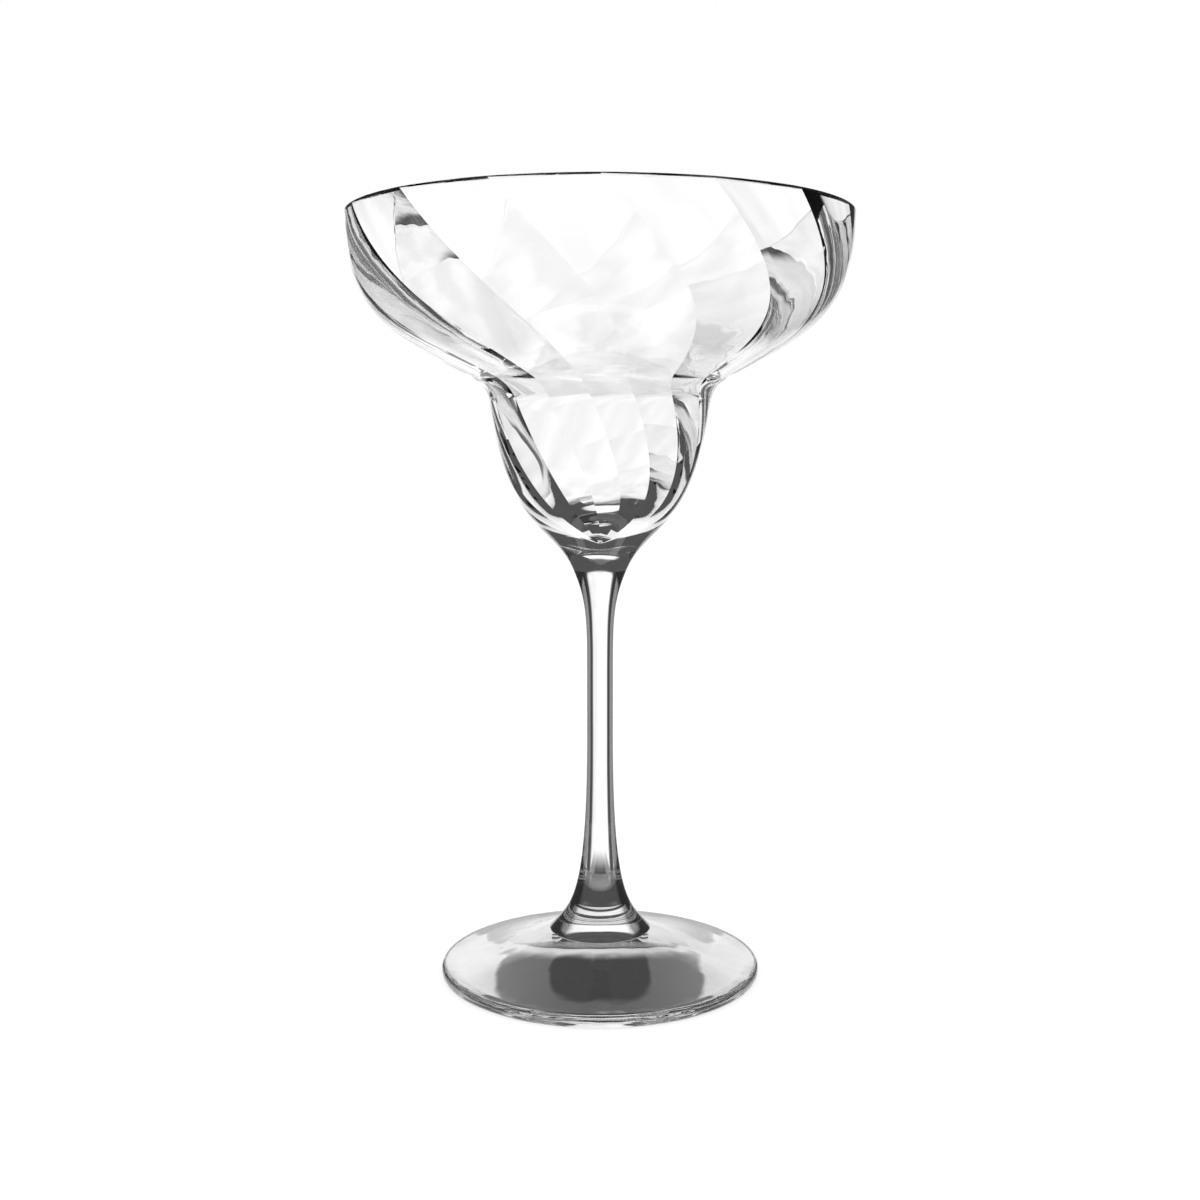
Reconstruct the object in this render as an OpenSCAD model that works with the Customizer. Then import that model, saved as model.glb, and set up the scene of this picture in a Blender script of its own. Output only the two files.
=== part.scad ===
// Stemmed margarita glass: a fluted bowl, a slender stem and a round foot, cemented together.
// Millimetres, +Z up. The origin is the centre of the ring that the foot stands on.

/* [Foot] */
// Diameter of the foot
foot_d = 79; // [64:0.5:110]
// Height of the foot at the face that carries the stem
foot_h = 10.8; // [9.5:0.1:18]
// Thickness of the foot at its edge
edge_t = 2.8; // [2.2:0.1:5]
// Radius of the rounded corners of that edge
edge_round = 1.1; // [0.4:0.1:1.4]
// Fall of the foot at its edge, in degrees from level
edge_fall = 7; // [0:0.5:12]
// Reach of that gentle fall, inwards from the edge
edge_reach = 12; // [4:0.5:20]
// Slope of the foot where it meets the stem, in degrees from level
crown_slope = 24; // [12:1:34]
// Reach of that slope, out along the foot
crown_reach = 7; // [3:0.5:11]
// Width of the flat ring that the glass stands on
ring_w = 3; // [1:0.1:10]
// Thickness of the foot between the middle of its hollow and the face that carries the stem
crown_t = 2.5; // [1.5:0.1:8]
// Reach of the level top of the hollow, out from the middle
hollow_reach = 12; // [4:0.5:14]
// Slope of the hollow where it meets the ring, in degrees from level
ring_slope = 7; // [2:0.5:9]
// Reach of that slope, in from the ring
ring_reach = 16; // [8:0.5:20]

/* [Stem] */
// Length of the stem between the foot and the bowl
stem_l = 89.7; // [75:0.1:150]
// Diameter at the waist
waist_d = 6.4; // [5:0.1:11]
// Diameter where the stem spreads onto the foot
base_d = 25; // [20:0.5:34]
// Length over which the base narrows to the waist
base_l = 50; // [40:0.5:58]
// Slope of the base where it meets the foot, in degrees from level
base_slope = 51; // [35:1:60]
// Reach of that slope, up along the base
base_reach = 8; // [3:0.5:11]
// Reach of the upright waist, down into the base
waist_reach = 44; // [25:0.5:46]
// Diameter where the stem opens into the bowl
head_d = 13; // [10.5:0.5:18]
// Length over which the head opens from the waist
head_l = 22.5; // [16:0.5:32]
// Lean of the head where it meets the bowl, in degrees from upright
head_lean = 23; // [10:1:32]
// Reach of that lean, down the head
head_reach = 7; // [3:0.5:10]
// Reach of the upright waist, up into the head
throat_reach = 12; // [6:0.5:14]

/* [Bowl] */
// Diameter of the bowl at its rim
rim_d = 120.5; // [100:0.5:150]
// Height of the wide upper bowl, from the neck to the rim
saucer_h = 40; // [34:0.5:60]
// Reach of the upright side, down from the rim
side_reach = 23.5; // [12:0.5:30]
// Slope of the floor of the upper bowl, in degrees from level
floor_slope = 27.5; // [20:0.5:34]
// Reach of that slope, outwards from the neck
floor_reach = 22; // [10:0.5:28]
// Diameter at the neck between the upper bowl and the cup
neck_d = 54.3; // [46:0.1:64]
// Length of the blend on each side of the neck
neck_blend = 4; // [2:0.1:5]
// Height of the cup, from the stem to the neck
cup_h = 44.5; // [40:0.5:60]
// Lean of the cup below the neck, in degrees from upright
cup_lean = 8; // [2:0.5:12]
// Reach of that lean, down from the neck
cup_reach = 32.2; // [24:0.1:36]
// Reach of the flare, up from the stem
flare_reach = 12.7; // [8:0.1:16]

/* [Cavity] */
// Wall at the ridges of the flutes, at the rim
rim_wall = 1.2; // [1.1:0.1:3]
// Wall at the ridges, on the floor of the upper bowl
floor_wall = 1.8; // [1.2:0.1:4]
// Wall at the ridges, at the top of the cup
cup_wall = 2; // [1.2:0.1:4]
// Solid glass between the stem and the bottom of the cup
bottom_t = 10; // [6:0.5:14]
// Length of the blend on each side of the ridges' turn inside the neck
crease_blend = 3.2; // [0.5:0.1:4.5]
// Reach of the straight part of the cup's inner wall, down from that blend
inner_reach = 29.5; // [22:0.5:31]
// Slope of the cup's inner bottom at its middle, in degrees from level
bottom_slope = 42; // [0:1:48]
// Reach of that slope, out from the middle
bottom_reach = 9; // [4:0.5:10]
// Rounding of the rim outside
rim_round = 0.3; // [0.1:0.05:0.4]
// Height and width of the bevel inside the rim
rim_bevel = 0.6; // [0.2:0.05:0.65]
// Number of flutes inside the bowl
flutes = 16; // [10:1:24]
// Turn of the flutes from the rim to the bottom of the cup, in degrees
flute_turn = 70; // [0:1:120]

/* [Joints] */
// Diameter of the spigot under the bowl
bowl_spigot_d = 6; // [4:0.1:8]
// Length of the spigot under the bowl
bowl_spigot_l = 4; // [2:0.1:6]
// Diameter of the boss on the foot
boss_d = 9; // [5:0.1:10]
// Length of the boss on the foot
boss_l = 5; // [2:0.1:6]
// Gap for the cement round the spigot and the boss, and past their ends
cement_gap = 0.1; // [0.05:0.01:0.2]

/* [Hidden] */
$fn = 128;

// Steps along a long curve and round a small corner
curve_steps = 20;
corner_steps = 6;
// How far a cut runs past the face that it opens
past = 1;
// Step to each side of a point on the bowl's curve that gives its direction there
way_step = 0.001;
// Angle up from level where the side of the bowl runs into the rounding of the rim
rim_from = 15;
// Share of the way to its corner that each end of a blend heads for
blend_ease = 0.6;
// Most of the room above the ridges' turn that its blend takes
crease_share = 0.9;
glass = [0.90, 0.93, 0.94, 0.45];

// Radii
foot_r = foot_d / 2;
waist_r = waist_d / 2;
base_r = base_d / 2;
head_r = head_d / 2;
rim_r = rim_d / 2;
neck_r = neck_d / 2;
bowl_spigot_r = bowl_spigot_d / 2;
boss_r = boss_d / 2;

// Heights, stacked from the foot
seat_z = foot_h + stem_l;
neck_z = seat_z + cup_h;
height = neck_z + saucer_h;
bottom_z = seat_z + bottom_t;

// A point as [radius, height], and the unit vector at an angle up from level
function along(angle) = [cos(angle), sin(angle)];
function cubic(a, b, c, d, t) =
    pow(1 - t, 3) * a + 3 * t * pow(1 - t, 2) * b + 3 * t * t * (1 - t) * c + pow(t, 3) * d;
// Points of a cubic curve after its first, so that curves chain without a double point
function curve(a, b, c, d) = [for (i = [1:curve_steps]) cubic(a, b, c, d, i / curve_steps)];
function corner(centre, radius, from, to) =
    [for (i = [0:corner_steps]) centre + radius * along(from + (to - from) * i / corner_steps)];
// A blend round a corner, between points set off from it along its two sides
function blend(corner, from, to) =
    curve(corner + from, corner + (1 - blend_ease) * from, corner + (1 - blend_ease) * to, corner + to);
// Where two lines meet, each set off by a wall from the neck's corner
function set_off(n1, w1, n2, w2) =
    let (det = n1[0] * n2[1] - n1[1] * n2[0])
    [(w1 * n2[1] - w2 * n1[1]) / det, (w2 * n1[0] - w1 * n2[0]) / det];

// Outline of the bowl, from the cup to the rim
floor_way = along(floor_slope);
cup_way = along(-90 - cup_lean);
head_way = along(90 - head_lean);
neck = [neck_r, neck_z];
seat = [head_r, seat_z];
rim = [rim_r, height];
floor_end = neck + neck_blend * floor_way;
cup_end = neck + neck_blend * cup_way;
cup_line = curve(seat, seat + flare_reach * head_way, cup_end + cup_reach * cup_way, cup_end);
neck_line = blend(neck, neck_blend * cup_way, neck_blend * floor_way);
saucer_ways = [floor_end, floor_end + floor_reach * floor_way, rim - [0, side_reach], rim];

function saucer(t) = cubic(saucer_ways[0], saucer_ways[1], saucer_ways[2], saucer_ways[3], t);
saucer_top = 1 - rim_round / (3 * side_reach);
saucer_line = [for (i = [1:curve_steps]) saucer(saucer_top * i / curve_steps)];

module bowl_blank() {
    rim_corner = corner(rim - [rim_round, rim_round], rim_round, rim_from, 90);
    spigot_z = seat_z - bowl_spigot_l;
    spigot = [[0, spigot_z], [bowl_spigot_r, spigot_z], [bowl_spigot_r, seat_z]];
    rotate_extrude()
        polygon(concat(spigot, [seat], cup_line, neck_line, saucer_line, rim_corner, [[0, height]]));
}

// Line that the ridges of the flutes follow, from the rim down to the middle of the cup
function saucer_way(t) = let (d = saucer(t + way_step) - saucer(t - way_step)) d / norm(d);
function inward(way) = [-way[1], way[0]];
function ridge(t) = saucer(t) + inward(saucer_way(t)) * (floor_wall + (rim_wall - floor_wall) * t);
ridge_rim = [rim_r - rim_wall, height];
crease = neck + set_off(inward(floor_way), floor_wall, inward(-cup_way), cup_wall);
middle = [0, bottom_z];
upper_ridge = [for (i = [curve_steps - 1:-1:0]) ridge(i / curve_steps)];
crease_l = min(crease_blend, crease_share * norm(ridge(0) - crease));
crease_top = crease + crease_l * floor_way;
crease_end = crease + crease_l * cup_way;
crease_line = blend(crease, crease_l * floor_way, crease_l * cup_way);
bottom_start = middle + bottom_reach * along(bottom_slope);
lower_ridge = curve(crease_end, crease_end + inner_reach * cup_way, bottom_start, middle);
lower_rings = [for (i = [0:curve_steps - 2]) lower_ridge[i]];
lip = [ridge_rim + [rim_bevel, past], ridge_rim + [rim_bevel, 0], ridge_rim - [0, rim_bevel]];
ridge_line = concat(lip, upper_ridge, [crease_top], crease_line, lower_rings);

// One ridge faces -Y at the rim, and the flutes turn as they go down
function turn(z) = -90 + flute_turn * (height - z) / (height - bottom_z);

module cavity() {
    rings = len(ridge_line);
    points = [for (p = ridge_line, k = [0:flutes - 1])
        let (way = along(turn(p[1]) + 360 * k / flutes)) [p[0] * way[0], p[0] * way[1], p[1]]];
    sides = [for (i = [0:rings - 2], k = [0:flutes - 1])
        let (a = i * flutes + k, b = i * flutes + (k + 1) % flutes, c = a + flutes, d = b + flutes)
        each [[a, b, c], [b, d, c]]];
    last = (rings - 1) * flutes;
    tip = [for (k = [0:flutes - 1]) [last + k, last + (k + 1) % flutes, rings * flutes]];
    mouth = [[for (k = [flutes - 1:-1:0]) k]];
    polyhedron(concat(points, [[0, 0, bottom_z]]), concat(mouth, sides, tip));
}

module bowl() {
    color(glass)
    difference() {
        bowl_blank();
        cavity();
    }
}

module stem() {
    base = [base_r, foot_h];
    base_top = [waist_r, foot_h + base_l];
    head_bottom = [waist_r, seat_z - head_l];
    base_way = along(180 - base_slope);
    base_line = curve(base, base + base_reach * base_way, base_top - [0, waist_reach], base_top);
    head_line = curve(head_bottom, head_bottom + [0, throat_reach], seat - head_reach * head_way, seat);
    boss_socket_r = boss_r + cement_gap;
    boss_socket_z = foot_h + boss_l + cement_gap;
    boss_socket = [[0, boss_socket_z], [boss_socket_r, boss_socket_z], [boss_socket_r, foot_h]];
    bowl_socket_r = bowl_spigot_r + cement_gap;
    bowl_socket_z = seat_z - bowl_spigot_l - cement_gap;
    bowl_socket = [[bowl_socket_r, seat_z], [bowl_socket_r, bowl_socket_z], [0, bowl_socket_z]];
    color(glass)
    rotate_extrude()
        polygon(concat(boss_socket, [base], base_line, [head_bottom], head_line, bowl_socket));
}

module foot() {
    edge_r = foot_r - edge_round;
    edge_top = [edge_r + edge_round * sin(edge_fall), edge_t - edge_round * (1 - cos(edge_fall))];
    base = [base_r, foot_h];
    crown_way = along(-crown_slope);
    edge_way = along(180 - edge_fall);
    top_line = curve(edge_top, edge_top + edge_reach * edge_way, base + crown_reach * crown_way, base);
    upper_corner = corner([edge_r, edge_t - edge_round], edge_round, 0, 90 - edge_fall);
    lower_corner = corner([edge_r, edge_round], edge_round, -90, 0);
    ring_r = edge_r - ring_w;
    hollow_top = [0, foot_h - crown_t];
    ring = [ring_r, 0];
    ring_way = along(180 - ring_slope);
    hollow_line = curve(hollow_top, hollow_top + [hollow_reach, 0], ring + ring_reach * ring_way, ring);
    boss = [[boss_r, foot_h], [boss_r, foot_h + boss_l], [0, foot_h + boss_l]];
    color(glass)
    rotate_extrude()
        polygon(concat([hollow_top], hollow_line, lower_corner, upper_corner, top_line, boss));
}

bowl();
stem();
foot();
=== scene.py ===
# %% [markdown]
# # A margarita glass
# The real glass is three pieces of clear glass: a wide bowl with spiral flutes inside, a slender stem and
# a round foot, cemented together. Their solids are already there at their real size, in metres. The first
# step loads them as a fixed frame, and every piece made below takes its size and place from that frame.

# %% Load the frame
import math

import bpy
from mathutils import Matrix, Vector


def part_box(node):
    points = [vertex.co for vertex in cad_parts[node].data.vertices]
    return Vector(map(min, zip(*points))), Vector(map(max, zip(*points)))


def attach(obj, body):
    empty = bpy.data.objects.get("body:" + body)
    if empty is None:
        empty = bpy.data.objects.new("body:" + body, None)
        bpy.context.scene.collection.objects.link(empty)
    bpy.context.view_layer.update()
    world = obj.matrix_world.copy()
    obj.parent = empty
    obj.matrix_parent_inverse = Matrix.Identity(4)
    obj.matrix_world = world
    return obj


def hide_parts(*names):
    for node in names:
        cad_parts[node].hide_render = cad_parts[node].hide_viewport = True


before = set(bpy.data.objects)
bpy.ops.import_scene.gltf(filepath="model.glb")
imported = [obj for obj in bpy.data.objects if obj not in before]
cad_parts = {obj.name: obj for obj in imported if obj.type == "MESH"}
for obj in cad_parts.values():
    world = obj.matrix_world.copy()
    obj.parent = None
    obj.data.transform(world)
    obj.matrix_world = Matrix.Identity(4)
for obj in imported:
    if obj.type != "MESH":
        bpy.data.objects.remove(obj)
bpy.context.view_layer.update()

# %% [markdown]
# ## The camera
# A photograph of a glass is mostly perspective: how far the rim opens and how round the foot looks. The
# camera stands a little below the rim and looks slightly down, so the near edge of the rim is its highest
# line, and the foot is seen from above. The lens is worked out from the size of the picture that it has
# to fill.

# %% Place the camera
MM = 0.001
SENSOR_MM = 36
PICTURE_PX = 1200
FOCAL_PX = 1487
CAMERA_AWAY = 362.3 * MM
CAMERA_HEIGHT = 131.9 * MM
CAMERA_DIP = math.radians(6.11)
NEAREST_SEEN = 10 * MM

camera_data = bpy.data.cameras.new("camera")
camera_data.sensor_width = SENSOR_MM
camera_data.lens = FOCAL_PX / PICTURE_PX * SENSOR_MM
camera_data.clip_start = NEAREST_SEEN
camera = bpy.data.objects.new("camera", camera_data)
camera.location = (0, -CAMERA_AWAY, CAMERA_HEIGHT)
camera.rotation_euler = (math.pi / 2 - CAMERA_DIP, 0, 0)
bpy.context.scene.collection.objects.link(camera)
bpy.context.scene.camera = camera
print("lens", round(camera_data.lens, 1), "mm")

# %% [markdown]
# ## Drawing an outline
# Every piece of a stemmed glass is round, so half an outline is enough: points of a radius and a height.
# Long swells are cubic curves, because their two ends leave in directions that are easy to name, and
# corners are arcs.

# %% Points, directions, curves and corners
CORNER_STEPS = 6
BLEND_STEPS = 16
BLEND_EASE = 0.6


def point(radius, height):
    """A point of an outline."""
    return Vector((radius, height))


def way(angle):
    """The unit vector at an angle up from level, in degrees."""
    return Vector((math.cos(math.radians(angle)), math.sin(math.radians(angle))))


def cubic(a, b, c, d, t):
    """The point at t, from 0 to 1, on the curve from a to d that sets off towards b and comes in from c."""
    s = 1 - t
    return s**3 * a + 3 * t * s**2 * b + 3 * t**2 * s * c + t**3 * d


def curve(a, b, c, d, steps):
    """Points along a cubic curve after its first, so that curves chain without a double point."""
    return [cubic(a, b, c, d, i / steps) for i in range(1, steps + 1)]


def corner(centre, radius, start, end):
    """Points along an arc, from one angle to another, in degrees up from level."""
    angles = [start + (end - start) * i / CORNER_STEPS for i in range(CORNER_STEPS + 1)]
    return [centre + radius * way(angle) for angle in angles]


def blend(tip, start, end):
    """Points along a soft round that cuts off the tip of a corner, after its first."""
    return curve(start, start.lerp(tip, BLEND_EASE), end.lerp(tip, BLEND_EASE), end, BLEND_STEPS)


print("a quarter round:", [tuple(round(x, 2) for x in p) for p in corner(point(0, 0), 1, 0, 90)])

# %% [markdown]
# ## Rings that grow into walls
# A spin would turn the whole outline at once, but the flutes inside the bowl twist as they go down, and a
# spin can't twist. So every wall starts as one ring, which is extruded from point to point of its
# outline, scaled to the next radius and, for the flutes, turned a little each time.

# %% Start a ring, let it follow an outline, and settle the finished piece
MERGE_WITHIN = 1e-7


def new_ring(name, corners, start, fill="NOTHING"):
    """Add a ring at the first point of an outline, and leave it selected in edit mode."""
    bpy.ops.object.select_all(action="DESELECT")
    bpy.ops.mesh.primitive_circle_add(vertices=corners, radius=start.x, fill_type=fill)
    piece = bpy.context.object
    piece.name = name
    piece.data.name = name
    bpy.ops.object.mode_set(mode="EDIT")
    bpy.ops.mesh.select_all(action="SELECT")
    bpy.ops.transform.translate(value=(0, 0, start.y))
    return piece


def follow(outline, turn=None):
    """Extrude the selected ring along an outline, turning it on the way where a turn is given."""
    for here, there in zip(outline, outline[1:]):
        bpy.ops.mesh.extrude_region_move(TRANSFORM_OT_translate={"value": (0, 0, there.y - here.y)})
        grow = there.x / here.x
        centre = (0, 0, there.y)
        bpy.ops.transform.resize(value=(grow, grow, 1), center_override=centre)
        if turn:
            step = turn(there.y) - turn(here.y)
            bpy.ops.transform.rotate(value=-step, orient_axis="Z", center_override=centre)


def settle(piece, sharp_from):
    """Point every face outwards, and shade the piece smooth apart from edges sharper than the angle."""
    bpy.ops.mesh.select_all(action="SELECT")
    bpy.ops.mesh.remove_doubles(threshold=MERGE_WITHIN)
    bpy.ops.mesh.normals_make_consistent(inside=False)
    bpy.ops.object.mode_set(mode="OBJECT")
    bpy.ops.object.shade_smooth_by_angle(angle=math.radians(sharp_from))
    print(piece.name, "has", len(piece.data.polygons), "faces")


# %% [markdown]
# ## The bowl, outside
# The outside is smooth: a cup that flares out of the stem, a rounded neck where it turns outwards, and a
# wide saucer that rises to an upright rim. It starts at the spigot under the cup, which is cemented into
# the stem. The edge at the top is fire-polished, so it ends in a very small round.

# %% Outline of the outside
bowl_low, bowl_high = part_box("bowl")
stem_low, stem_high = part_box("stem")
RIM_R = bowl_high[0]
HEIGHT = bowl_high[2]
SEAT_Z = stem_high[2]
HEAD_R = 6.5 * MM
HEAD_LEAN = 23
SPIGOT_R = 3 * MM
SPIGOT_Z = bowl_low[2]
FLARE_REACH = 12.7 * MM
NECK_R = 27.15 * MM
NECK_Z = SEAT_Z + 44.5 * MM
NECK_BLEND = 4 * MM
CUP_LEAN = 8
CUP_REACH = 32.2 * MM
FLOOR_SLOPE = 27.5
FLOOR_REACH = 22 * MM
SIDE_REACH = 23.5 * MM
RIM_ROUND = 0.3 * MM
RIM_FROM = 15
LONG_STEPS = 60

floor_way = way(FLOOR_SLOPE)
cup_way = way(-90 - CUP_LEAN)
head_way = way(90 - HEAD_LEAN)
neck = point(NECK_R, NECK_Z)
seat = point(HEAD_R, SEAT_Z)
rim = point(RIM_R, HEIGHT)
floor_end = neck + NECK_BLEND * floor_way
cup_end = neck + NECK_BLEND * cup_way
saucer_ways = (floor_end, floor_end + FLOOR_REACH * floor_way, rim - point(0, SIDE_REACH), rim)
saucer_top = 1 - RIM_ROUND / (3 * SIDE_REACH)


def saucer(t):
    """The outside of the upper bowl, from the neck at 0 to the rim at 1."""
    return cubic(*saucer_ways, t)


outside = [point(SPIGOT_R, SPIGOT_Z), point(SPIGOT_R, SEAT_Z), seat]
outside += curve(seat, seat + FLARE_REACH * head_way, cup_end + CUP_REACH * cup_way, cup_end, LONG_STEPS)
outside += blend(neck, cup_end, floor_end)
outside += [saucer(saucer_top * i / LONG_STEPS) for i in range(1, LONG_STEPS + 1)]
outside += corner(rim - point(RIM_ROUND, RIM_ROUND), RIM_ROUND, RIM_FROM, 90)
print("outside of the bowl:", len(outside), "points")

# %% Grow the outside from the end of the spigot up to the rim
ROUND = 256
bowl = new_ring("bowl_shell", ROUND, outside[0], fill="NGON")
follow(outside)
bpy.ops.mesh.delete(type="ONLY_FACE")
bpy.ops.object.mode_set(mode="OBJECT")
print("outer wall:", len(bowl.data.polygons), "faces")

# %% [markdown]
# ## The bowl, inside
# The inside is what makes this glass sparkle: sixteen flat flutes, with sharp ridges between them, that
# wind down from the rim to the middle of the cup. Each level is a sixteen-sided ring, and its corners are
# the ridges. The ridges follow the outside at the thickness of the wall, which grows from the thin rim to
# the solid bottom. They start at a bevel under the rim, which is what draws the dark line there, go over
# a rounded crease at the neck, and end in a shallow cone, so the bottom of the cup shows as a dark point.

# %% Line of the ridges
RIM_WALL = 1.2 * MM
FLOOR_WALL = 1.8 * MM
CUP_WALL = 2.0 * MM
CREASE_BLEND = 3.2 * MM
INNER_REACH = 29.5 * MM
BOTTOM_Z = SEAT_Z + 10 * MM
BOTTOM_SLOPE = 42
BOTTOM_REACH = 9 * MM
BEVEL_R = 1.3 * MM
BEVEL_TOP = 65
BEVEL_LOW = 25
RIM_FALL = 0.05 * MM
WAY_STEP = 0.001


def inward(along):
    """The direction from the outside of the wall to its inside."""
    return Vector((-along.y, along.x))


def ridge(t):
    """The ridge opposite the point at t on the outside of the upper bowl."""
    along = (saucer(t + WAY_STEP) - saucer(t - WAY_STEP)).normalized()
    return saucer(t) + inward(along) * (FLOOR_WALL + (RIM_WALL - FLOOR_WALL) * t)


def set_off(side, side_wall, other, other_wall):
    """Where two lines through a corner meet, once each is set off by its own wall."""
    across = side.x * other.y - side.y * other.x
    x = (side_wall * other.y - other_wall * side.y) / across
    y = (other_wall * side.x - side_wall * other.x) / across
    return Vector((x, y))


crease = neck + set_off(inward(floor_way), FLOOR_WALL, inward(-cup_way), CUP_WALL)
crease_top = crease + CREASE_BLEND * floor_way
crease_low = crease + CREASE_BLEND * cup_way
middle = point(0, BOTTOM_Z)
bottom_way = way(BOTTOM_SLOPE)
cup_ways = (crease_low, crease_low + INNER_REACH * cup_way, middle + BOTTOM_REACH * bottom_way, middle)
ridge_rim = point(RIM_R - RIM_WALL, HEIGHT - RIM_FALL)
bevel_centre = ridge_rim + BEVEL_R * point(way(BEVEL_LOW).x, -way(BEVEL_TOP).y)

inside = corner(bevel_centre, BEVEL_R, 180 - BEVEL_TOP, 180 - BEVEL_LOW)
inside += [ridge(i / LONG_STEPS) for i in range(LONG_STEPS - 1, -1, -1)]
inside += [crease_top]
inside += blend(crease, crease_top, crease_low)
inside += curve(*cup_ways, LONG_STEPS)
inside.pop()
print("ridges:", len(inside), "points, down to", round(inside[-1].y / MM, 1), "mm")

# %% Grow the flutes down into the cup
FLUTES = 16
FLUTE_TURN = math.radians(70)


def flute_turn(z):
    """How far the ridges have turned at a height."""
    return FLUTE_TURN * (HEIGHT - z) / (HEIGHT - BOTTOM_Z)


cavity = new_ring("cavity", FLUTES, inside[0])
bpy.ops.mesh.subdivide(number_cuts=ROUND // FLUTES - 1)
follow(inside, flute_turn)
bpy.ops.mesh.merge(type="CENTER")
bpy.ops.object.mode_set(mode="OBJECT")
print("inner wall:", len(cavity.data.polygons), "faces")

# %% [markdown]
# ## The rim
# The two walls are joined into one piece, and the open edges at the top are bridged. The outside is round
# and the inside has sixteen sides, so the rim has slight kinks and its wall is not even, as on the real
# glass. The inner edge lies a hair lower than the outer one: on one level, the bridge would pair the two
# edges the wrong way round.

# %% Join the walls and close the rim
RIDGE_SHARP = 6
bowl.select_set(True)
cavity.select_set(True)
bpy.context.view_layer.objects.active = bowl
bpy.ops.object.join()
bpy.ops.object.mode_set(mode="EDIT")
bpy.ops.mesh.select_mode(type="EDGE")
bpy.ops.mesh.select_all(action="DESELECT")
bpy.ops.mesh.select_non_manifold()
bpy.ops.mesh.bridge_edge_loops()
settle(bowl, RIDGE_SHARP)

# %% [markdown]
# ## The stem
# The stem is a slender rod that swells at both ends. Its head opens into the cup at the same lean, so no
# step shows there, and its base spreads into a steep cone that stands on the foot with a crisp corner.
# Both ends have a socket. It is grown in one go: up the outside, from the socket in its base to the
# socket in its head.

# %% Outline of the stem, from the socket in its base to the socket in its head
_, foot_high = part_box("foot")
FOOT_H = stem_low[2]
BASE_R = stem_high[0]
BASE_L = 50 * MM
BASE_SLOPE = 51
BASE_REACH = 8 * MM
WAIST_R = 3.2 * MM
WAIST_REACH = 44 * MM
HEAD_L = 22.5 * MM
HEAD_REACH = 7 * MM
THROAT_REACH = 12 * MM
BOSS_R = 4.5 * MM
BOSS_Z = foot_high[2]
CEMENT = 0.1 * MM
HEAD_STEPS = 30

base = point(BASE_R, FOOT_H)
base_top = point(WAIST_R, FOOT_H + BASE_L)
head_bottom = point(WAIST_R, SEAT_Z - HEAD_L)
base_way = way(180 - BASE_SLOPE)
stem_line = [point(BOSS_R + CEMENT, BOSS_Z + CEMENT), point(BOSS_R + CEMENT, FOOT_H), base]
base_ways = (base, base + BASE_REACH * base_way, base_top - point(0, WAIST_REACH), base_top)
stem_line += curve(*base_ways, LONG_STEPS)
stem_line += [head_bottom]
head_ways = (head_bottom, head_bottom + point(0, THROAT_REACH), seat - HEAD_REACH * head_way, seat)
stem_line += curve(*head_ways, HEAD_STEPS)
stem_line += [point(SPIGOT_R + CEMENT, SEAT_Z), point(SPIGOT_R + CEMENT, SPIGOT_Z - CEMENT)]
print("outline of the stem:", len(stem_line), "points")

# %% Grow the stem
CORNER_SHARP = 40
stem = new_ring("stem_shaft", ROUND, stem_line[0], fill="NGON")
follow(stem_line)
bpy.ops.mesh.edge_face_add()
settle(stem, CORNER_SHARP)

# %% [markdown]
# ## The foot
# The foot is a thin shell, hollow underneath: its top falls away from the stem, flatter than the cone
# that stands on it, and levels out towards a rounded edge. It stands on a narrow flat ring. A boss in its
# middle is cemented into the base of the stem.

# %% Outline of the foot, from the boss over the edge to the top of the hollow
FOOT_R = foot_high[0]
EDGE_T = 2.8 * MM
EDGE_ROUND = 1.1 * MM
EDGE_FALL = 7
EDGE_REACH = 12 * MM
RING_W = 3 * MM
CROWN_T = 2.5 * MM
CROWN_SLOPE = 24
CROWN_REACH = 7 * MM
HOLLOW_REACH = 12 * MM
RING_SLOPE = 7
RING_REACH = 16 * MM

edge_r = FOOT_R - EDGE_ROUND
edge_top = point(edge_r, EDGE_T - EDGE_ROUND) + EDGE_ROUND * way(90 - EDGE_FALL)
edge_way = way(180 - EDGE_FALL)
ring = point(edge_r - RING_W, 0)
ring_way = way(180 - RING_SLOPE)
hollow_top = point(0, FOOT_H - CROWN_T)
foot_line = [point(BOSS_R, BOSS_Z), point(BOSS_R, FOOT_H), base]
crown_ways = (base, base + CROWN_REACH * way(-CROWN_SLOPE), edge_top + EDGE_REACH * edge_way, edge_top)
foot_line += curve(*crown_ways, LONG_STEPS)
foot_line += corner(point(edge_r, EDGE_T - EDGE_ROUND), EDGE_ROUND, 90 - EDGE_FALL, 0)[1:]
foot_line += corner(point(edge_r, EDGE_ROUND), EDGE_ROUND, 0, -90)
foot_line += [ring]
hollow_ways = (ring, ring + RING_REACH * ring_way, hollow_top + point(HOLLOW_REACH, 0), hollow_top)
foot_line += curve(*hollow_ways, LONG_STEPS)
foot_line.pop()
print("outline of the foot:", len(foot_line), "points")

# %% Grow the foot
foot = new_ring("foot_disc", ROUND, foot_line[0], fill="NGON")
follow(foot_line)
bpy.ops.mesh.merge(type="CENTER")
settle(foot, CORNER_SHARP)
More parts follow.
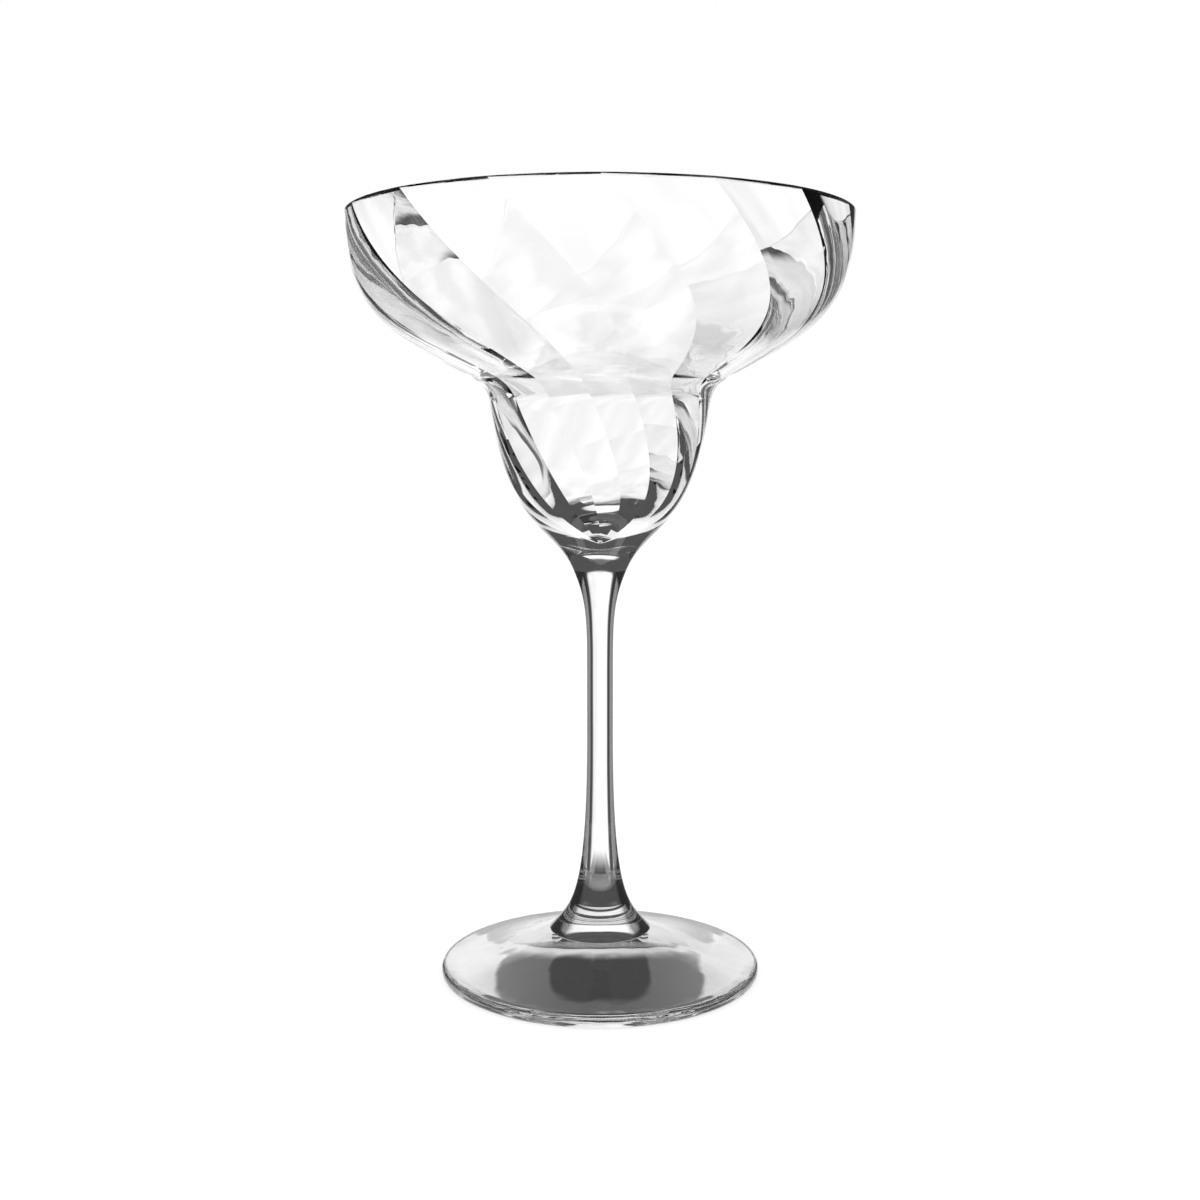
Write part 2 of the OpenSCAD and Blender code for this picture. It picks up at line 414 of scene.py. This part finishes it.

# %% [markdown]
# ## Sums of shader sockets
# The look of glass is worked out by the shader from small things: faint waves that the mould leaves, a
# breath of smear on the surface, and a painted dark shade where an edge turns away. Each is a sum of
# shader sockets, and a sum is easiest to read as a sum, so one small class lets a socket be added,
# multiplied and passed to any node.

# %% A socket that can be added and multiplied
class Socket:
    """A shader socket that takes part in sums like a number."""

    def __init__(self, tree, source=None):
        self.tree = tree
        self.source = source

    def node(self, kind, settings, inputs, output=0):
        """Add a node of any kind: its settings first, then a value or a link for each named input."""
        node = self.tree.nodes.new(kind)
        for name, setting in settings.items():
            setattr(node, name, setting)
        for name, value in inputs.items():
            if isinstance(value, Socket):
                self.tree.links.new(value.source, node.inputs[name])
            else:
                node.inputs[name].default_value = value
        return Socket(self.tree, node.outputs[output])

    def sum(self, operation, *values):
        """The result of one operation on sockets or numbers."""
        return self.node("ShaderNodeMath", {"operation": operation}, dict(enumerate(values)))

    def ramp(self, start, end):
        """Rise smoothly from 0 at the start to 1 at the end."""
        ends = {"Value": self, "From Min": start, "From Max": end}
        return self.node("ShaderNodeMapRange", {"interpolation_type": "SMOOTHSTEP"}, ends)

    def grey(self):
        """The same level of red, green and blue."""
        return self.node("ShaderNodeCombineXYZ", {}, {"X": self, "Y": self, "Z": self})

    def noise(self, place, scale, detail):
        """Soft random patches over a place."""
        inputs = {"Vector": place, "Scale": scale, "Detail": detail}
        return self.node("ShaderNodeTexNoise", {}, inputs, "Fac")

    def part(self, axis):
        """One coordinate of a vector."""
        return self.node("ShaderNodeSeparateXYZ", {}, {"Vector": self}, axis)

    def __add__(self, other):
        return self.sum("ADD", self, other)

    def __sub__(self, other):
        return self.sum("SUBTRACT", self, other)

    def __rsub__(self, other):
        return self.sum("SUBTRACT", other, self)

    def __mul__(self, other):
        return self.sum("MULTIPLY", self, other)

    def __abs__(self):
        return self.sum("ABSOLUTE", self)

    __radd__ = __add__
    __rmul__ = __mul__


# %% [markdown]
# ## Clear glass
# Pressed glass is clear, but never quite even: the mould leaves shallow waves that bend what is seen
# through it, and a wiped surface keeps a little smear that softens its gloss. Where a wall is seen edge
# on, its base colour is painted darker: a painted shade for the dark edges of glass. The rod of the stem
# gets it soonest, so its sides draw two dark lines, the thin wall of the bowl only at its very outline,
# and the wide foot is painted slightly grey all over, which is painted shade as well.

# %% The glass of each piece
IOR = 1.5
WAVE_SCALE = 70
WAVE_DETAIL = 2
WAVE_DEPTH = 0.12 * MM
SMEAR_SCALE = 35
SMEAR_DETAIL = 4
SMEAR_FROM = 0.45
SMEAR_TO = 0.75
SMEAR_ROUGH = 0.02
EVEN_BLEND = 0.5


def clear_glass(name, clear, edge_shade, edge_from, edge_to):
    """Clear glass with faint waves and smears, and a base colour painted darker where its surface turns
    away: a painted shade.
    """
    material = bpy.data.materials.new(name)
    material.use_nodes = True
    tree = material.node_tree
    principled = tree.nodes["Principled BSDF"]
    principled.inputs["Transmission Weight"].default_value = 1
    principled.inputs["IOR"].default_value = IOR
    shader = Socket(tree)
    place = shader.node("ShaderNodeTexCoord", {}, {}, "Object")
    wave = shader.noise(place, WAVE_SCALE, WAVE_DETAIL)
    smear = shader.noise(place, SMEAR_SCALE, SMEAR_DETAIL)
    facing = shader.node("ShaderNodeLayerWeight", {}, {"Blend": EVEN_BLEND}, "Facing")
    # Painted shade: the base colour falls from the clear level to the edge level where the surface turns
    # away.
    painted_shade = clear + (edge_shade - clear) * facing.ramp(edge_from, edge_to)
    rough = SMEAR_ROUGH * smear.ramp(SMEAR_FROM, SMEAR_TO)
    bump = shader.node("ShaderNodeBump", {}, {"Distance": WAVE_DEPTH, "Height": wave})
    for entry, value in {"Base Color": painted_shade.grey(), "Roughness": rough, "Normal": bump}.items():
        tree.links.new(value.source, principled.inputs[entry])
    return material


# Painted shade: the edge levels darken each outline, and the foot's 0.68 paints the whole foot grey.
bowl_glass = clear_glass("bowl_glass", clear=1, edge_shade=0.8, edge_from=0.75, edge_to=0.98)
stem_glass = clear_glass("stem_glass", clear=1, edge_shade=0.08, edge_from=0.2, edge_to=0.33)
foot_glass = clear_glass("foot_glass", clear=0.68, edge_shade=0.5, edge_from=0.9, edge_to=1)
print("glass:", bowl_glass.name, stem_glass.name, foot_glass.name)

# %% [markdown]
# ## Cemented joints
# The pieces are cemented with a clear cement that bends light as the glass does, so the faces inside a
# joint don't show on the real glass. Here they would: two faces a tenth of a millimetre apart mirror the
# room. So every face inside a joint gets a material that lets all light through, and light goes on from
# one piece into the next.

# %% Clear cement on the faces inside the joints
TOUCH = 0.01 * MM
CEMENT_SLOT = 1
cement = bpy.data.materials.new("clear_cement")
cement.use_nodes = True
cement.node_tree.nodes["Principled BSDF"].inputs["Alpha"].default_value = 0


def bowl_joint(place):
    """On the seat of the bowl or on its spigot."""
    return place.z < SEAT_Z + TOUCH


def stem_joint(place):
    """On an end of the stem or in one of its sockets."""
    radius = place.xy.length
    on_end = place.z < FOOT_H + TOUCH or place.z > SEAT_Z - TOUCH
    in_base = place.z < BOSS_Z + CEMENT + TOUCH and radius < BOSS_R + CEMENT + TOUCH
    in_head = place.z > SPIGOT_Z - CEMENT - TOUCH and radius < SPIGOT_R + CEMENT + TOUCH
    return on_end or in_base or in_head


def foot_joint(place):
    """On the seat of the foot or on its boss."""
    return place.z > FOOT_H - TOUCH


def bond(piece, glass, in_joint):
    """Give a piece its glass, and the cement to its faces inside a joint."""
    piece.data.materials.append(glass)
    piece.data.materials.append(cement)
    inner = [face for face in piece.data.polygons if in_joint(face.center)]
    for face in inner:
        face.material_index = CEMENT_SLOT
    print(piece.name, "has", len(inner), "faces inside its joints")


bond(bowl, bowl_glass, bowl_joint)
bond(stem, stem_glass, stem_joint)
bond(foot, foot_glass, foot_joint)

# %% [markdown]
# ## Tying the pieces to the frame
# The glass has no moving part, so all three pieces ride on the one body, and each stands in for its own
# solid.

# %% Ride on the body and replace the solids
for piece, node in ((bowl, "bowl"), (stem, "stem"), (foot, "foot")):
    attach(piece, "root")
    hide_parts(node)
    print(piece.name, "stands in for", node)

# %% [markdown]
# ## Light for glass
# Glass has no colour of its own, so a photograph of it is a picture of the room, bent. Here the room is a
# bright cloth, lit from behind, between two dark boards. The middle of each piece shows the cloth, and
# where glass bends light further aside it shows a board, which draws the dark edges. Past the boards the
# room is bright again, and so is the light table under them, so the glass stays clear from every side and
# from above. Light that was mirrored inside the glass finds the cloth and a dark room, and the eye itself
# sees a plain white room. The cloth is a little uneven, and brighter on one side, so that neighbouring
# flutes differ by a shade.

# %% Cloth, boards, room and light table
DARK = 0.09
BRIGHT = 1.2
CLOTH_HALF = 23
CLOTH_TOP = 27
CLOTH_TILT = 0.1
CLOTH_FALL = 0.1
BOARD_END = 36
TABLE_FROM = 50
SOFT = 3
CREASED = 0.12
CREASE_SCALE = 7
CREASE_DETAIL = 2
CREASE_FROM = 0.35
CREASE_TO = 0.65
GLASS_BOUNCES = 32
MIRROR_BOUNCES = 16

scene = bpy.context.scene
scene.view_settings.view_transform = "Standard"
scene.cycles.use_denoising = True
scene.cycles.max_bounces = GLASS_BOUNCES
scene.cycles.transmission_bounces = GLASS_BOUNCES
scene.cycles.transparent_max_bounces = GLASS_BOUNCES
scene.cycles.glossy_bounces = MIRROR_BOUNCES

world = bpy.data.worlds.new("studio")
world.use_nodes = True
scene.world = world
sky = Socket(world.node_tree)
toward = sky.node("ShaderNodeTexCoord", {}, {}, "Generated")
turned = sky.sum("ARCTAN2", toward.part("X"), toward.part("Y"))
raised = sky.sum("ARCSINE", toward.part("Z"))


def below(value, edge):
    """1 under an angle in degrees and 0 over it, with a soft edge."""
    return 1 - value.ramp(math.radians(edge - SOFT), math.radians(edge + SOFT))


def mirrored(paint):
    """1 for light that was mirrored on its way, and 0 for light that came straight through the glass."""
    return paint.sum("MINIMUM", paint.node("ShaderNodeLightPath", {}, {}, "Glossy Depth"), 1)


lean = sky.sum("MAXIMUM", sky.sum("MINIMUM", turned * (1 / math.radians(CLOTH_HALF)), 1), -1)
shaded = 1 - CLOTH_TILT * lean - CLOTH_FALL * lean * lean
cloth = below(abs(turned), CLOTH_HALF) * below(raised, CLOTH_TOP) * shaded
room = (1 - below(abs(turned), BOARD_END)) * below(raised, CLOTH_TOP)
around = sky.sum("MAXIMUM", room, below(raised, -TABLE_FROM))
lit = sky.sum("MAXIMUM", cloth, around * (1 - mirrored(sky)))
creases = sky.noise(toward, CREASE_SCALE, CREASE_DETAIL).ramp(CREASE_FROM, CREASE_TO)
in_glass = (DARK + (BRIGHT - DARK) * lit) * (1 - CREASED * creases)
eye = sky.node("ShaderNodeLightPath", {}, {}, "Is Camera Ray")
matt = sky.node("ShaderNodeLightPath", {}, {}, "Is Diffuse Ray")
direct = sky.sum("MAXIMUM", eye, matt)
level = direct + (1 - direct) * in_glass
world.node_tree.links.new(level.grey().source, world.node_tree.nodes["Background"].inputs["Color"])
print("studio: a cloth", 2 * CLOTH_HALF, "degrees wide between two dark boards")

# %% [markdown]
# ## The floor
# The glass stands on a plain white floor that glows faintly, as a light table does, so that no shadow is
# cast. The glass itself doesn't show the floor: what shines up through it is the light of the room.

# %% Floor
FLOOR_R = 3
FLOOR_WHITE = 0.35
FLOOR_GLOW = 0.75
FLOOR_ROUGH = 0.9
FLOOR_SIDES = 64
floor = new_ring("floor", FLOOR_SIDES, point(FLOOR_R, 0), fill="NGON")
bpy.ops.object.mode_set(mode="OBJECT")
paper = bpy.data.materials.new("white_paper")
paper.use_nodes = True
finish = paper.node_tree.nodes["Principled BSDF"]
finish.inputs["Base Color"].default_value = (FLOOR_WHITE, FLOOR_WHITE, FLOOR_WHITE, 1)
finish.inputs["Roughness"].default_value = FLOOR_ROUGH
finish.inputs["Specular IOR Level"].default_value = 0
finish.inputs["Emission Color"].default_value = (1, 1, 1, 1)
finish.inputs["Emission Strength"].default_value = FLOOR_GLOW
floor.data.materials.append(paper)
floor.visible_glossy = False
floor.visible_transmission = False
print("floor", 2 * FLOOR_R, "m across")

# %% [markdown]
# ## Two discs of painted shade that only the glass shows
# Two discs glow at painted levels of shade, and only the glass shows them. A dark round one with a white
# border lies right under the foot, a painted shade under the glass: light mirrored inside the glass finds
# it, which turns the solid bottom of the cup dark and keeps the edge of the foot light. A grey one with a
# darker middle lies lower and further back, a painted shade that is lighter at its sides, and shows
# through the foot from the front as the grey shape round the stem. It fades out at its far end, because
# the stem shows that end too, and shows it softly.

# %% Discs of painted shade
CARD_SIDES = 64


def shade_disc(name, radius, place):
    """A disc of painted shade that only the glass shows, and a socket to paint it with."""
    card = new_ring(name, CARD_SIDES, point(radius, 0), fill="NGON")
    bpy.ops.transform.translate(value=place)
    bpy.ops.object.mode_set(mode="OBJECT")
    paint = bpy.data.materials.new(name)
    paint.use_nodes = True
    card.data.materials.append(paint)
    card.visible_camera = False
    card.visible_diffuse = False
    card.visible_shadow = False
    return Socket(paint.node_tree)


def glow(paint, level, share):
    """Let a disc glow at a level of painted shade, for the share of its area or light that it is there for.
    """
    shown = paint.node("ShaderNodeEmission", {}, {"Color": level.grey()})
    gone = paint.node("ShaderNodeBsdfTransparent", {}, {})
    both = paint.node("ShaderNodeMixShader", {}, {0: share, 1: gone, 2: shown})
    paint.tree.links.new(both.source, paint.tree.nodes["Material Output"].inputs["Surface"])


def oval(place, wide, long, middle):
    """Under 1 inside an oval with full corners, and over 1 outside it."""
    side = place.part("X") * (1 / wide)
    front = (place.part("Y") - middle) * (1 / long)
    side_square = side * side
    front_square = front * front
    return side_square * side_square + front_square * front_square


# %% The painted shade under the foot, dark with a white border
UNDER_R = 60 * MM
UNDER_Z = -0.4 * MM
BORDER_FROM = 32 * MM
BORDER_TO = 38 * MM
under = shade_disc("shade_under_foot", UNDER_R, (0, 0, UNDER_Z))
place = under.node("ShaderNodeTexCoord", {}, {}, "Object")
out = under.sum("SQRT", place.part("X") * place.part("X") + place.part("Y") * place.part("Y"))
# Painted shade under the foot: dark in the middle and white from 38 mm out, for mirrored light only.
glow(under, DARK + (1 - DARK) * out.ramp(BORDER_FROM, BORDER_TO), mirrored(under))
print("dark card", 2 * UNDER_R / MM, "mm across")

# %% The painted grey shade behind the foot
CARD_WIDE = 30 * MM
CARD_LONG = 60 * MM
CARD_MIDDLE = 76 * MM
CARD_Z = -20 * MM
BEHIND_SHADE_GREY = 0.2
CARD_RISE = 0.16
PATCH_WIDE = 15.5 * MM
PATCH_LONG = 52 * MM
PATCH_MIDDLE = 76 * MM
MIDDLE_SHADE_GREY = 0.09
CARD_SOFT = 0.1
PATCH_SOFT = 0.2
FADE_FROM = 80 * MM
FADE_TO = 130 * MM
behind = shade_disc("shade_behind_foot", CARD_WIDE + CARD_LONG, (0, CARD_MIDDLE, CARD_Z))
place = behind.node("ShaderNodeTexCoord", {}, {}, "Object")
aside = place.part("X") * (1 / CARD_WIDE)
patch = oval(place, PATCH_WIDE, PATCH_LONG, PATCH_MIDDLE).ramp(1 - PATCH_SOFT, 1 + PATCH_SOFT)
# Painted shade: grey that grows lighter towards the sides, and darker still in the middle.
grey = MIDDLE_SHADE_GREY + (BEHIND_SHADE_GREY + CARD_RISE * aside * aside - MIDDLE_SHADE_GREY) * patch
within = 1 - oval(place, CARD_WIDE, CARD_LONG, CARD_MIDDLE).ramp(1 - CARD_SOFT, 1 + CARD_SOFT)
faded = place.part("Y").ramp(FADE_FROM, FADE_TO)
glow(behind, grey, within * (1 - faded) * (1 - mirrored(behind)))
print("grey card", 2 * CARD_WIDE / MM, "by", 2 * CARD_LONG / MM, "mm")
